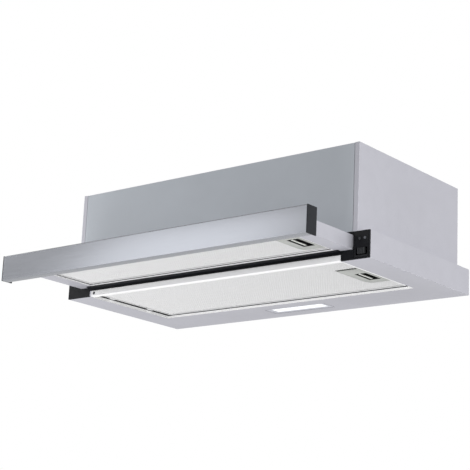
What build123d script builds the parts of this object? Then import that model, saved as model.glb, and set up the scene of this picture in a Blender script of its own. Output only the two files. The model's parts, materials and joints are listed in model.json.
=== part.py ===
"""Slide-out under cabinet range hood, 60 cm class, as an assembly of separate pieces.

Places are given in hood measures: x across, 0 in the middle and + to the right of someone facing
it; y back from the pan's front edge; z up from the pan's underside. at() turns them into the part's
frame, whose origin is the centre of the four cabinet screw holes on the top sheet, with -Y forward.
The hood is drawn with its drawer pulled out.
"""

import os

from build123d import *

os.makedirs("parts", exist_ok=True)

# Overall sizes
HOOD_WIDTH = 598
HOOD_HEIGHT = 175
BODY_WIDTH = 556
DEPTH = 275
PAN_HEIGHT = 41
SHEET = 1.0
ORIGIN_DEPTH = 135

# Pan opening and front corners
OPENING_HALF = 250
OPENING_DEPTH = 194
FLANGE_HEIGHT = 5
CORNER_FACE = 3
CORNER_INNER = 250.2
CROSSBAR_HALF = 249.8
CROSSBAR_HEIGHT = 9.4
CROSSBAR_DEPTH = 8
BAR_SCREW_X = -240
BAR_SCREW_Z = 4.7
WIPER_TOP = 14.4
WIPER_REACH = 8.4
LIP_HEIGHT = 1.0
WINDOW_EDGE = 272
WINDOW_LOW = 14.6
WINDOW_HIGH = 37.4
LEDGE_INNER = 266
HOUSING_SCREW_X = 271.5
HOUSING_SCREWS_Z = (70, 110, 150)

# Drawer
DRAWER_OUT = 148
DRAWER_HALF = 270
DRAWER_LOW = 15
DRAWER_HIGH = 36.4
PANEL_LOW = 1
PANEL_DEPTH = 15
CAP_DEPTH = 21
CAP_THICK = 1.4
DRAWER_REAR = 18
WALL_REAR = 145
STRIP_SLOT = (13, 28)
DRAWER_SCREWS_X = (-200, -70, 70, 200)
DRAWER_SCREW_Z = 32

# Slides, measured out from the drawer wall
MEMBER_FRONT = 20
CHANNEL_X = (275.4, 276.6)
CHANNEL_Z = (16, 36.4)
CHANNEL_FRONT = 18
CHANNEL_REAR = 272
MEMBER_Z = (19.6, 32.8)
CAGE_FRONT = 86
CAGE_LENGTH = 55
CAGE_X = 275
BALL_TRACKS = (18.3, 34.1)
BALL_X = 272.9
BALL_RADIUS = 1.0
BALL_PITCH = 11

# Filters
FILTER_THICK = 8
FILTER_SHEET = 0.8
MESH_SHEET = 1.2
PLATE_WIDTH = 40
PLATE_LENGTH = 86
POCKET_SIZE = (20.5, 42)
POCKET_INSET = (14, 27)

# Blower, centred on a shaft along x
SHAFT_DEPTH = 124.5
SHAFT_HEIGHT = 102
CASE_HALF = 62
CASE_WALL = 1.5
WHEEL_RADIUS = 42
WHEEL_HALF = 55.5
INLET_RADIUS = 37
MOTOR_RADIUS = 28
MOTOR_START = -52
HUB_START = -67
SHAFT_RADIUS = 4
BLADES = 24
BLADE_CIRCLE = 38.6
BRACKET_ARMS = (35, 148, 270)

# Exhaust collar and its flaps
COLLAR_RADIUS = 60
COLLAR_WALL = 2
COLLAR_HEIGHT = 28
COLLAR_FLANGE = 1.5
COLLAR_SCREW_CIRCLE = 65
EXHAUST_RADIUS = 51
FLAP_RADIUS = 56.2
FLAP_HEIGHT = 190
PIN_RADIUS = 1.5
PIN_HALF = 59
KNUCKLE = 21

# Cabinet screw holes
SCREW_SPACING = (450, 150)
SCREW_HOLE = 2.75

# Lamp
LAMP_X = 4.5
LAMP_Y = 233
LAMP_RECESS = (119, 31)
LAMP_LOW = 0.2
LAMP_HIGH = 8.2
DIFFUSER = (101, 20)
DIFFUSER_LOW = 1.0
DIFFUSER_FLANGE = 2.8

# Electrics
GLAND_X = 160
GLAND_Y = 220
GLAND_RADIUS = 8
CAPACITOR_X = -150
CAPACITOR_Z = 156
CAPACITOR_RADIUS = 13.9
CLIP_Y = (146, 158)
PLUNGER_X = 263
PLUNGER_Z = 25

# Controls
CONTROL_X = (272.5, 296.5)
SLOT_X = (276, 295.4)
SLOT_Z = (5.4, 15.8)
FASCIA_Z = (2, 40)
FASCIA_THICK = 1.7
CONTROL_DEPTH = 44
BUTTONS_X = {"light_button": 282.1, "fan_button": 291.2}
BUTTON_Z = 29.7
BUTTON_RADIUS = 2.0

HALF = HOOD_WIDTH / 2
BODY_HALF = BODY_WIDTH / 2
LEFT, RIGHT = -1, 1


def at(x, y, z):
    """A point in hood measures, as a point in the part's frame."""
    return (x, y - ORIGIN_DEPTH, z - HOOD_HEIGHT)


def across(side, near, far):
    """The x range between two distances from the middle, on one side."""
    return (min(side * near, side * far), max(side * near, side * far))


def block(x, y, z, mode=Mode.ADD):
    """A rectangular block between three (low, high) pairs."""
    with Locations(at(sum(x) / 2, sum(y) / 2, sum(z) / 2)):
        Box(x[1] - x[0], y[1] - y[0], z[1] - z[0], mode=mode)


def rod(start, radius, length, direction, mode=Mode.ADD):
    """A round bar that starts at a point and runs along a direction."""
    with BuildSketch(Plane(origin=at(*start), z_dir=direction)) as section:
        Circle(radius)
    extrude(section.sketch, amount=length, mode=mode)


def save(name, piece):
    """Label a finished piece and write it."""
    piece.part.label = name
    export_step(piece.part, f"parts/{name}.step")


# ---------------------------------------------------------------- pan and body

with BuildPart() as pan:
    block((-HALF, HALF), (CORNER_FACE, DEPTH), (0, SHEET))
    block((-OPENING_HALF, OPENING_HALF), (0, OPENING_DEPTH), (0, SHEET), Mode.SUBTRACT)
    block((-HALF, HALF), (DEPTH - SHEET, DEPTH), (0, PAN_HEIGHT))
    flange_half = OPENING_HALF + SHEET
    block((-flange_half, flange_half), (OPENING_DEPTH, OPENING_DEPTH + SHEET), (0, FLANGE_HEIGHT))
    for side in (LEFT, RIGHT):
        block(across(side, HALF - SHEET, HALF), (CORNER_FACE, DEPTH), (0, PAN_HEIGHT))
        block(across(side, LEDGE_INNER, HALF), (CORNER_FACE, DEPTH), (PAN_HEIGHT - SHEET, PAN_HEIGHT))
        block(
            across(side, OPENING_HALF, flange_half),
            (CROSSBAR_DEPTH + 0.4, OPENING_DEPTH + SHEET),
            (0, FLANGE_HEIGHT),
        )
    with Locations(at(LAMP_X, LAMP_Y, 0)):
        Box(LAMP_RECESS[0] + 0.4, LAMP_RECESS[1] + 0.4, 4 * SHEET, mode=Mode.SUBTRACT)
save("pan", pan)

for side, name in ((LEFT, "side_panel_left"), (RIGHT, "side_panel_right")):
    with BuildPart() as side_panel:
        wall = BODY_HALF - SHEET
        block(across(side, wall, BODY_HALF), (0, DEPTH), (PAN_HEIGHT, HOOD_HEIGHT))
        block(across(side, BODY_HALF - 8, BODY_HALF), (0, SHEET), (PAN_HEIGHT, HOOD_HEIGHT))
        block(across(side, LEDGE_INNER, wall), (SHEET, DEPTH - SHEET), (PAN_HEIGHT, PAN_HEIGHT + SHEET))
        block(
            across(side, wall - 15, wall),
            (SHEET, DEPTH - SHEET),
            (HOOD_HEIGHT - 2 * SHEET, HOOD_HEIGHT - SHEET),
        )
        block(
            across(side, LEDGE_INNER, wall),
            (DEPTH - 2 * SHEET, DEPTH - SHEET),
            (PAN_HEIGHT, HOOD_HEIGHT - SHEET),
        )
        for height in HOUSING_SCREWS_Z:
            rod((side * HOUSING_SCREW_X, DEPTH - 3, height), 1.7, 4, (0, 1, 0), Mode.SUBTRACT)
    save(name, side_panel)

with BuildPart() as front_sheet:
    sheet_half = BODY_HALF - 8.6
    sheet_top = HOOD_HEIGHT - SHEET
    block((-sheet_half, sheet_half), (0, SHEET), (PAN_HEIGHT + 0.4, sheet_top))
    block((-CROSSBAR_HALF, CROSSBAR_HALF), (0, SHEET), (38, PAN_HEIGHT + 0.4))
    block((-CROSSBAR_HALF, CROSSBAR_HALF), (SHEET, 11), (38, 38 + SHEET))
    block((-261, 261), (SHEET, 14), (sheet_top - SHEET, sheet_top))
save("front_sheet", front_sheet)

with BuildPart() as top_sheet:
    top_half = BODY_HALF - SHEET - 0.1
    block((-top_half, top_half), (SHEET + 0.2, DEPTH - SHEET), (HOOD_HEIGHT - SHEET, HOOD_HEIGHT))
    with BuildSketch(Plane.XY) as top_holes:
        Circle(EXHAUST_RADIUS)
        with GridLocations(*SCREW_SPACING, 2, 2):
            Circle(SCREW_HOLE)
        with Locations((GLAND_X, GLAND_Y - ORIGIN_DEPTH)):
            Circle(GLAND_RADIUS + 0.3)
        with PolarLocations(COLLAR_SCREW_CIRCLE, 4, start_angle=45):
            Circle(1.6)
    extrude(top_holes.sketch, amount=-2 * SHEET, mode=Mode.SUBTRACT)
save("top_sheet", top_sheet)

with BuildPart() as back_sheet:
    block((-top_half, top_half), (DEPTH - SHEET, DEPTH), (PAN_HEIGHT, HOOD_HEIGHT))
    for side in (LEFT, RIGHT):
        for height in HOUSING_SCREWS_Z:
            rod((side * HOUSING_SCREW_X, DEPTH - 3, height), 1.7, 4, (0, 1, 0), Mode.SUBTRACT)
save("back_sheet", back_sheet)

with BuildPart() as housing_screws:
    for side in (LEFT, RIGHT):
        for height in HOUSING_SCREWS_Z:
            rod((side * HOUSING_SCREW_X, DEPTH - 6, height), 1.5, 6, (0, 1, 0))
            rod((side * HOUSING_SCREW_X, DEPTH, height), 3.4, 1.6, (0, 1, 0))
    with BuildSketch(Plane.XY.offset(-4)) as collar_screw_shanks:
        with PolarLocations(COLLAR_SCREW_CIRCLE, 4, start_angle=45):
            Circle(1.5)
    extrude(collar_screw_shanks.sketch, amount=5.5)
    with BuildSketch(Plane.XY.offset(COLLAR_FLANGE)) as collar_screw_heads:
        with PolarLocations(COLLAR_SCREW_CIRCLE, 4, start_angle=45):
            Circle(3)
    extrude(collar_screw_heads.sketch, amount=1.5)
save("housing_screws", housing_screws)

# ---------------------------------------------------------------- front corners and crossbar


def corner_frame(side):
    """The plastic corner that closes the pan's front and lets the drawer wall through."""
    block(across(side, CORNER_INNER, HALF), (0, CORNER_FACE), (0, PAN_HEIGHT))
    block(
        across(side, CORNER_INNER - 1, WINDOW_EDGE),
        (-1, CORNER_FACE + 1),
        (WINDOW_LOW, WINDOW_HIGH),
        Mode.SUBTRACT,
    )
    block(across(side, 253, 270), (CORNER_FACE, 12), (1.4, 13.4))
    block(across(side, 254.6, 268.4), (CORNER_FACE, 13), (3, 11.8), Mode.SUBTRACT)


with BuildPart() as corner_cap_left:
    corner_frame(LEFT)
    block(across(LEFT, 277.2, 297.4), (CORNER_FACE, 14), (1.4, 39.4))
    block(across(LEFT, 278.8, 295.8), (CORNER_FACE, 15), (3, 37.8), Mode.SUBTRACT)
save("corner_cap_left", corner_cap_left)

with BuildPart() as control_housing:
    corner_frame(RIGHT)
    block(across(RIGHT, 277.2, 297.4), (CORNER_FACE, CONTROL_DEPTH), (1.4, 39.4))
    block(across(RIGHT, 278.6, 296), (CORNER_FACE, CONTROL_DEPTH - 1.4), (2.8, 38), Mode.SUBTRACT)
    fascia_seat_x = (CONTROL_X[0] - 0.1, CONTROL_X[1] + 0.1)
    fascia_seat_z = (FASCIA_Z[0] - 0.1, FASCIA_Z[1] + 0.1)
    block(fascia_seat_x, (-1, FASCIA_THICK + 0.1), fascia_seat_z, Mode.SUBTRACT)
    block((SLOT_X[0] + 0.5, SLOT_X[1] - 0.2), (1, 4), (5, 16.2), Mode.SUBTRACT)
    for x in BUTTONS_X.values():
        rod((x, 1, BUTTON_Z), BUTTON_RADIUS + 0.4, 3, (0, 1, 0), Mode.SUBTRACT)
save("control_housing", control_housing)

with BuildPart() as control_fascia:
    block(CONTROL_X, (0, FASCIA_THICK), FASCIA_Z)
    block(SLOT_X, (-1, 3), SLOT_Z, Mode.SUBTRACT)
    for x in BUTTONS_X.values():
        rod((x, -1, BUTTON_Z), BUTTON_RADIUS + 0.35, 4, (0, 1, 0), Mode.SUBTRACT)
save("control_fascia", control_fascia)

with BuildPart() as speed_slider:
    thumb_x = (sum(SLOT_X) / 2 - 6.2, sum(SLOT_X) / 2 + 6.2)
    block(thumb_x, (-2.2, 1.4), (6.8, 15.2))
    for rib in range(5):
        rib_x = thumb_x[0] + 0.8 + rib * 2.4
        block((rib_x, rib_x + 1.2), (-2.9, -2.2), (7.2, 14.8))
    block((283.5, 288), (1.4, 11), (9, 13))
save("speed_slider", speed_slider)

for name, x in BUTTONS_X.items():
    with BuildPart() as button:
        rod((x, -0.9, BUTTON_Z), BUTTON_RADIUS, 2.5, (0, 1, 0))
        rod((x, 1.6, BUTTON_Z), 1.4, 5.4, (0, 1, 0))
        front_rim = button.edges().filter_by(GeomType.CIRCLE).sort_by(Axis.Y)[0]
        fillet(front_rim, 0.4)
    save(name, button)

with BuildPart() as speed_switch:
    block((279, 295.6), (11.5, 28), (4, 18))
    for pin in range(4):
        block((281 + 3.4 * pin, 282 + 3.4 * pin), (28, 33), (10, 10.8))
save("speed_switch", speed_switch)

with BuildPart() as button_board:
    block((279, 295.6), (12, 13.6), (21, 37))
    for x in BUTTONS_X.values():
        block((x - 3, x + 3), (8.6, 12), (BUTTON_Z - 3, BUTTON_Z + 3))
save("button_board", button_board)

with BuildPart() as front_crossbar:
    block((-CROSSBAR_HALF, CROSSBAR_HALF), (0, SHEET), (0, CROSSBAR_HEIGHT))
    block((-CROSSBAR_HALF, CROSSBAR_HALF), (0, CROSSBAR_DEPTH), (0, SHEET))
    block((-CROSSBAR_HALF, CROSSBAR_HALF), (CROSSBAR_DEPTH - SHEET, CROSSBAR_DEPTH), (0, FLANGE_HEIGHT))
    rod((BAR_SCREW_X, -1, BAR_SCREW_Z), 1.6, 3, (0, 1, 0), Mode.SUBTRACT)
save("front_crossbar", front_crossbar)

with BuildPart() as crossbar_screw:
    rod((BAR_SCREW_X, 0, BAR_SCREW_Z), 1.4, 5, (0, 1, 0))
    rod((BAR_SCREW_X, -0.9, BAR_SCREW_Z), 2.3, 0.9, (0, 1, 0))
save("crossbar_screw", crossbar_screw)

with BuildPart() as drawer_wiper:
    block((-CROSSBAR_HALF, CROSSBAR_HALF), (0.4, 7), (CROSSBAR_HEIGHT, WIPER_TOP))
    block((-CROSSBAR_HALF, CROSSBAR_HALF), (-WIPER_REACH, 1.4), (WIPER_TOP - LIP_HEIGHT, WIPER_TOP))
    lip_edges = drawer_wiper.edges().filter_by(Axis.X).group_by(Axis.Y)[0]
    fillet(lip_edges, 0.3 * LIP_HEIGHT)
save("drawer_wiper", drawer_wiper)

# ---------------------------------------------------------------- lamp and electrics


def lamp_block(size, z, mode=Mode.ADD):
    """A block centred on the lamp, from its size across and its (low, high) pair."""
    half_x = size[0] / 2
    half_y = size[1] / 2
    block((LAMP_X - half_x, LAMP_X + half_x), (LAMP_Y - half_y, LAMP_Y + half_y), z, mode)


def grown(size, margin):
    """A size with a margin added to both of its sides."""
    return (size[0] + margin, size[1] + margin)


with BuildPart() as lamp_bezel:
    lamp_block(LAMP_RECESS, (LAMP_LOW, LAMP_HIGH))
    with BuildSketch(Plane(at(LAMP_X, LAMP_Y, LAMP_LOW))) as recess_mouth:
        Rectangle(*grown(LAMP_RECESS, -1.6))
    with BuildSketch(Plane(at(LAMP_X, LAMP_Y, DIFFUSER_LOW))) as recess_floor:
        Rectangle(*grown(DIFFUSER, 0.4))
    loft([recess_mouth.sketch, recess_floor.sketch], mode=Mode.SUBTRACT)
    lamp_block(grown(DIFFUSER, 0.4), (DIFFUSER_LOW, LAMP_HIGH), Mode.SUBTRACT)
    lamp_block(grown(DIFFUSER, 6.4), (DIFFUSER_FLANGE - 0.1, LAMP_HIGH), Mode.SUBTRACT)
save("lamp_bezel", lamp_bezel)

with BuildPart() as lamp_diffuser:
    lamp_block(DIFFUSER, (DIFFUSER_LOW, DIFFUSER_FLANGE))
    lamp_block(grown(DIFFUSER, 6), (DIFFUSER_FLANGE, DIFFUSER_FLANGE + 1))
save("lamp_diffuser", lamp_diffuser)

with BuildPart() as led_board:
    lamp_block(grown(DIFFUSER, 9), (LAMP_HIGH, LAMP_HIGH + 1.6))
    with Locations(at(LAMP_X, LAMP_Y, LAMP_HIGH - 0.3)):
        with GridLocations(12, 1, 8, 1):
            Box(3, 3, 0.8)
save("led_board", led_board)

with BuildPart() as led_driver:
    block((-180, -105), (212, 250), (SHEET, 21))
    fillet(led_driver.edges().filter_by(Axis.Z), 3)
save("led_driver", led_driver)

with BuildPart() as terminal_box:
    block((GLAND_X - 40, GLAND_X + 40), (GLAND_Y - 30, GLAND_Y + 30), (142, HOOD_HEIGHT - 2 * SHEET))
    block((GLAND_X - 38, GLAND_X + 38), (GLAND_Y - 28, GLAND_Y + 28), (141, 171), Mode.SUBTRACT)
    rod((GLAND_X, GLAND_Y, 170), GLAND_RADIUS + 0.3, 6, (0, 0, 1), Mode.SUBTRACT)
save("terminal_box", terminal_box)

with BuildPart() as terminal_block:
    block((GLAND_X - 30, GLAND_X + 30), (GLAND_Y + 11, GLAND_Y + 25), (155, 171))
    for way in (-2, -1, 0, 1, 2):
        rod((GLAND_X + 12 * way, GLAND_Y + 18, 154), 2.4, 6, (0, 0, 1), Mode.SUBTRACT)
save("terminal_block", terminal_block)

with BuildPart() as terminal_cover:
    block((GLAND_X - 41, GLAND_X + 41), (GLAND_Y - 31, GLAND_Y + 31), (139.5, 141.5))
    fillet(terminal_cover.edges().filter_by(Axis.Z), 2)
save("terminal_cover", terminal_cover)

with BuildPart() as cable_gland:
    rod((GLAND_X, GLAND_Y, 166), GLAND_RADIUS, 17, (0, 0, 1))
    with BuildSketch(Plane(at(GLAND_X, GLAND_Y, HOOD_HEIGHT))) as gland_nut:
        RegularPolygon(12, 6)
    extrude(gland_nut.sketch, amount=5)
    with BuildSketch(Plane(at(GLAND_X, GLAND_Y, 183))) as gland_neck:
        Circle(GLAND_RADIUS)
    extrude(gland_neck.sketch, amount=4, taper=15)
    rod((GLAND_X, GLAND_Y, 160), GLAND_RADIUS / 2, 30, (0, 0, 1), Mode.SUBTRACT)
save("cable_gland", cable_gland)

with BuildPart() as capacitor:
    rod((CAPACITOR_X, 130, CAPACITOR_Z), CAPACITOR_RADIUS, 46, (0, 1, 0))
    rod((CAPACITOR_X, 126, CAPACITOR_Z), 5, 4, (0, 1, 0))
save("capacitor", capacitor)

with BuildPart() as capacitor_clip:
    with BuildSketch(Plane(origin=at(CAPACITOR_X, CLIP_Y[0], CAPACITOR_Z), z_dir=(0, 1, 0))) as strap:
        Circle(CAPACITOR_RADIUS + 1.5)
        Circle(CAPACITOR_RADIUS + 0.1, mode=Mode.SUBTRACT)
    extrude(strap.sketch, amount=CLIP_Y[1] - CLIP_Y[0])
    block((CAPACITOR_X - 3, CAPACITOR_X + 3), CLIP_Y, (171, HOOD_HEIGHT - SHEET))
    clip_foot_z = (HOOD_HEIGHT - 2 * SHEET, HOOD_HEIGHT - SHEET)
    block((CAPACITOR_X - 10, CAPACITOR_X + 10), CLIP_Y, clip_foot_z)
save("capacitor_clip", capacitor_clip)

with BuildPart() as microswitch:
    block((PLUNGER_X - 8, PLUNGER_X + 4), (262, DEPTH - SHEET), (PLUNGER_Z - 7, PLUNGER_Z + 7))
    rod((PLUNGER_X, 255, PLUNGER_Z), 1.8, 14, (0, 1, 0), Mode.SUBTRACT)
save("microswitch", microswitch)

with BuildPart() as microswitch_plunger:
    rod((PLUNGER_X, 259.2, PLUNGER_Z), 1.5, 6, (0, 1, 0))
save("microswitch_plunger", microswitch_plunger)

# ---------------------------------------------------------------- blower


def blower_section(x, inset):
    """The scroll's outline seen along the shaft, on a plane across the shaft at x."""
    with BuildSketch(Plane(at(x, SHAFT_DEPTH, SHAFT_HEIGHT), x_dir=(0, 1, 0), z_dir=(1, 0, 0))) as section:
        with BuildLine():
            Line((-42, 71.8), (-42, 30))
            ThreePointArc((-42, 30), (-47.5, -12), (0, -53))
            ThreePointArc((0, -53), (46, -38), (63, 0))
            Line((63, 0), (63, 71.8))
            Line((63, 71.8), (-42, 71.8))
        make_face()
        if inset:
            offset(amount=-inset, mode=Mode.REPLACE)
    return section.sketch


for side, name in ((LEFT, "blower_case_left"), (RIGHT, "blower_case_right")):
    with BuildPart() as blower_case:
        case_x = across(side, 0, CASE_HALF)
        room_x = across(side, 0, CASE_HALF - CASE_WALL)
        extrude(blower_section(case_x[0], 0), amount=CASE_HALF)
        room = blower_section(room_x[0], CASE_WALL)
        extrude(room, amount=CASE_HALF - CASE_WALL, mode=Mode.SUBTRACT)
        block(room_x, (SHAFT_DEPTH - 40.5, SHAFT_DEPTH + 61.5), (165, 180), Mode.SUBTRACT)
        rod((side * 50, SHAFT_DEPTH, SHAFT_HEIGHT), INLET_RADIUS, 20, (side, 0, 0), Mode.SUBTRACT)
    save(name, blower_case)

with BuildPart() as inlet_rings:
    for side in (LEFT, RIGHT):
        rod((side * CASE_HALF, SHAFT_DEPTH, SHAFT_HEIGHT), INLET_RADIUS + 8, 1.2, (side, 0, 0))
        rod((side * 57.5, SHAFT_DEPTH, SHAFT_HEIGHT), INLET_RADIUS - 0.1, 5.7, (side, 0, 0))
        rod((side * 57, SHAFT_DEPTH, SHAFT_HEIGHT), INLET_RADIUS - 1.5, 8, (side, 0, 0), Mode.SUBTRACT)
save("inlet_rings", inlet_rings)

with BuildPart() as impeller:
    for start in (-WHEEL_HALF, -1, WHEEL_HALF - 1.5):
        rod((start, SHAFT_DEPTH, SHAFT_HEIGHT), WHEEL_RADIUS, 2 if start == -1 else 1.5, (1, 0, 0))
    for start in (-WHEEL_HALF - 1, WHEEL_HALF - 2):
        rod((start, SHAFT_DEPTH, SHAFT_HEIGHT), 35.5, 3, (1, 0, 0), Mode.SUBTRACT)
    wheel_end = Plane(at(-WHEEL_HALF + 1, SHAFT_DEPTH, SHAFT_HEIGHT), x_dir=(0, 1, 0), z_dir=(1, 0, 0))
    with BuildSketch(wheel_end) as blades:
        with PolarLocations(BLADE_CIRCLE, BLADES):
            Rectangle(5.4, 1, rotation=32)
    extrude(blades.sketch, amount=2 * WHEEL_HALF - 2)
    rod((-1, SHAFT_DEPTH, SHAFT_HEIGHT), 9, 15, (1, 0, 0))
    rod((-5, SHAFT_DEPTH, SHAFT_HEIGHT), SHAFT_RADIUS, 30, (1, 0, 0), Mode.SUBTRACT)
save("impeller", impeller)

with BuildPart() as motor_shaft:
    rod((-31, SHAFT_DEPTH, SHAFT_HEIGHT), SHAFT_RADIUS, 48, (1, 0, 0))
save("motor_shaft", motor_shaft)

with BuildPart() as motor:
    rod((MOTOR_START, SHAFT_DEPTH, SHAFT_HEIGHT), MOTOR_RADIUS, 46, (1, 0, 0))
    fillet(motor.edges().filter_by(GeomType.CIRCLE), 3)
    rod((HUB_START, SHAFT_DEPTH, SHAFT_HEIGHT), 10, 64, (1, 0, 0))
    rod((-33, SHAFT_DEPTH, SHAFT_HEIGHT), SHAFT_RADIUS + 0.06, 40, (1, 0, 0), Mode.SUBTRACT)
save("motor", motor)

with BuildPart() as motor_bracket:
    bracket_start = at(HUB_START + 1, SHAFT_DEPTH, SHAFT_HEIGHT)
    with BuildSketch(Plane(bracket_start, x_dir=(0, 1, 0), z_dir=(1, 0, 0))) as spider:
        Circle(14)
        for angle in BRACKET_ARMS:
            with Locations(Rot(0, 0, angle)):
                with Locations((25, 0)):
                    Rectangle(50, 8)
        Circle(10, mode=Mode.SUBTRACT)
    extrude(spider.sketch, amount=2)
    pad_start = at(HUB_START + 3, SHAFT_DEPTH, SHAFT_HEIGHT)
    with BuildSketch(Plane(pad_start, x_dir=(0, 1, 0), z_dir=(1, 0, 0))) as pads:
        for angle in BRACKET_ARMS:
            with Locations(Rot(0, 0, angle)):
                with Locations((48, 0)):
                    Rectangle(4, 8)
    extrude(pads.sketch, amount=2)
save("motor_bracket", motor_bracket)

# ---------------------------------------------------------------- exhaust collar

with BuildPart() as exhaust_collar:
    with BuildSketch(Plane.XY) as collar_flange:
        Circle(70)
        with PolarLocations(COLLAR_SCREW_CIRCLE, 4, start_angle=45):
            Circle(1.6, mode=Mode.SUBTRACT)
    extrude(collar_flange.sketch, amount=COLLAR_FLANGE)
    with BuildSketch(Plane.XY) as collar_tube:
        Circle(COLLAR_RADIUS)
    extrude(collar_tube.sketch, amount=COLLAR_HEIGHT)
    with BuildSketch(Plane.XY) as collar_throat:
        Circle(EXHAUST_RADIUS)
    extrude(collar_throat.sketch, amount=COLLAR_HEIGHT, mode=Mode.SUBTRACT)
    with BuildSketch(Plane.XY.offset(COLLAR_FLANGE)) as collar_room:
        Circle(COLLAR_RADIUS - COLLAR_WALL)
    extrude(collar_room.sketch, amount=COLLAR_HEIGHT, mode=Mode.SUBTRACT)
    rod((-PIN_HALF, ORIGIN_DEPTH, FLAP_HEIGHT), PIN_RADIUS, 2 * PIN_HALF, (1, 0, 0), Mode.SUBTRACT)
save("exhaust_collar", exhaust_collar)

with BuildPart() as flap_pin:
    pin_start = 0.1 - PIN_HALF
    rod((pin_start, ORIGIN_DEPTH, FLAP_HEIGHT), PIN_RADIUS, -2 * pin_start, (1, 0, 0))
save("flap_pin", flap_pin)

KNUCKLES = {"flap_front": (LEFT, (-48, 2)), "flap_rear": (RIGHT, (-23, 27))}
for name, (side, starts) in KNUCKLES.items():
    with BuildPart() as flap:
        with BuildSketch(Plane(at(0, ORIGIN_DEPTH, FLAP_HEIGHT - 0.6))) as leaf:
            Circle(FLAP_RADIUS)
            with Locations((0, -side * 50 + side * 3.6)):
                Rectangle(120, 100, mode=Mode.SUBTRACT)
            for start in starts:
                with Locations((start + KNUCKLE / 2, side * 2.8)):
                    Rectangle(KNUCKLE, 2)
        extrude(leaf.sketch, amount=1.2)
        for start in starts:
            rod((start, ORIGIN_DEPTH, FLAP_HEIGHT), 3, KNUCKLE, (1, 0, 0))
            bore_start = (start - 1, ORIGIN_DEPTH, FLAP_HEIGHT)
            rod(bore_start, PIN_RADIUS + 0.08, KNUCKLE + 2, (1, 0, 0), Mode.SUBTRACT)
    save(name, flap)

# ---------------------------------------------------------------- filters


def build_filter(prefix, x, y, low, right_rim, plate_x, plate_y, tab_low, tab_reach, tongue_x):
    """One grease filter: rolled frame, mesh pack, latch plate, latch slide and latch spring.

    x and y are the frame's outer ranges and low its underside. plate_x and plate_y are the latch
    plate's left and front edges. The tabs on the left reach over the opening's flange, and the
    latch's tongue ends at tongue_x.
    """
    high = low + FILTER_THICK
    plate_xs = (plate_x, plate_x + PLATE_WIDTH)
    plate_ys = (plate_y, plate_y + PLATE_LENGTH)
    pocket_x = (plate_x + POCKET_INSET[0], plate_x + POCKET_INSET[0] + POCKET_SIZE[0])
    pocket_y = (plate_y + POCKET_INSET[1], plate_y + POCKET_INSET[1] + POCKET_SIZE[1])
    bar_x = (pocket_x[0] + 4.6, pocket_x[0] + 8)
    slot_y = (pocket_y[0] + 6, pocket_y[1] - 6)
    slide_z = (high - 3.4, high - 2)
    slot_z = (slide_z[0] - 0.3, slide_z[1] + 0.3)
    spring_y = pocket_y[1] + 6

    with BuildPart() as filter_frame:
        block(x, y, (low, high))
        inner_x = (x[0] + FILTER_SHEET, x[1] - FILTER_SHEET)
        inner_y = (y[0] + FILTER_SHEET, y[1] - FILTER_SHEET)
        block(inner_x, inner_y, (low + FILTER_SHEET, high - FILTER_SHEET), Mode.SUBTRACT)
        block((x[0] + 4, x[1] - right_rim), (y[0] + 8, y[1] - 4), (low - 1, high + 1), Mode.SUBTRACT)
        block((x[1] - right_rim - 5, x[1] + 1), slot_y, slot_z, Mode.SUBTRACT)
        for tab_y in (y[0] + 0.2 * (y[1] - y[0]), y[0] + 0.7 * (y[1] - y[0])):
            block((x[0] - tab_reach, x[0] + 0.4), (tab_y, tab_y + 12), (tab_low, tab_low + 1))
    save(prefix + "_filter_frame", filter_frame)

    with BuildPart() as filter_mesh:
        mesh_z = (low + FILTER_SHEET + 0.1, low + FILTER_SHEET + 0.1 + MESH_SHEET)
        block((inner_x[0] + 0.1, inner_x[1] - 0.1), (inner_y[0] + 0.1, inner_y[1] - 0.1), mesh_z)
        block(
            (plate_xs[0] - 0.2, x[1] + 1),
            (plate_ys[0] - 0.2, plate_ys[1] + 0.2),
            (low - 1, high + 1),
            Mode.SUBTRACT,
        )
    save(prefix + "_filter_mesh", filter_mesh)

    with BuildPart() as latch_plate:
        block(plate_xs, plate_ys, (low, high - FILTER_SHEET - 0.1))
        inner_rear_corner = latch_plate.edges().filter_by(Axis.Z).group_by(Axis.X)[0].sort_by(Axis.Y)[-1]
        fillet(inner_rear_corner, 14)
        block(pocket_x, pocket_y, (low - 1, high - 1.9), Mode.SUBTRACT)
        block((pocket_x[1] - 1, plate_xs[1] + 1), slot_y, slot_z, Mode.SUBTRACT)
        block(
            (pocket_x[0] - 8, pocket_x[0] + 9.4),
            (pocket_y[1] - 1, spring_y + 4),
            (low + 1.6, high),
            Mode.SUBTRACT,
        )
    save(prefix + "_latch_plate", latch_plate)

    with BuildPart() as latch_slide:
        block(bar_x, (pocket_y[0] + 4, pocket_y[1] - 4), (low + 0.3, slide_z[1]))
        block((bar_x[0], tongue_x), (slot_y[0] + 0.6, slot_y[1] - 0.6), slide_z)
        block(bar_x, (pocket_y[1] - 5, spring_y + 3), (slide_z[0] - 2.2, slide_z[1]))
    save(prefix + "_latch_slide", latch_slide)

    with BuildPart() as latch_spring:
        with BuildLine() as coil:
            Helix(1.6, 11, 1.4, center=at(pocket_x[0] - 7, spring_y, low + 4), direction=(1, 0, 0))
        with BuildSketch(Plane(coil.line @ 0, z_dir=coil.line % 0)) as wire:
            Circle(0.25)
        sweep(wire.sketch, path=coil.line)
    save(prefix + "_latch_spring", latch_spring)


REAR_FILTER_X = (-245, 245)
REAR_FILTER_Y = (8.8, 193)
FRONT_FILTER_X = (-239.5, 242)
FRONT_FILTER_Y = (-130, -9)
FRONT_FILTER_LOW = 17.5
build_filter("rear", REAR_FILTER_X, REAR_FILTER_Y, FLANGE_HEIGHT, 10, 195, 66.5, 5.4, 7.5, 249.4)
build_filter("front", FRONT_FILTER_X, FRONT_FILTER_Y, FRONT_FILTER_LOW, 5, 197, -105, 19.1, 6.5, 243.1)

# ---------------------------------------------------------------- drawer

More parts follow.
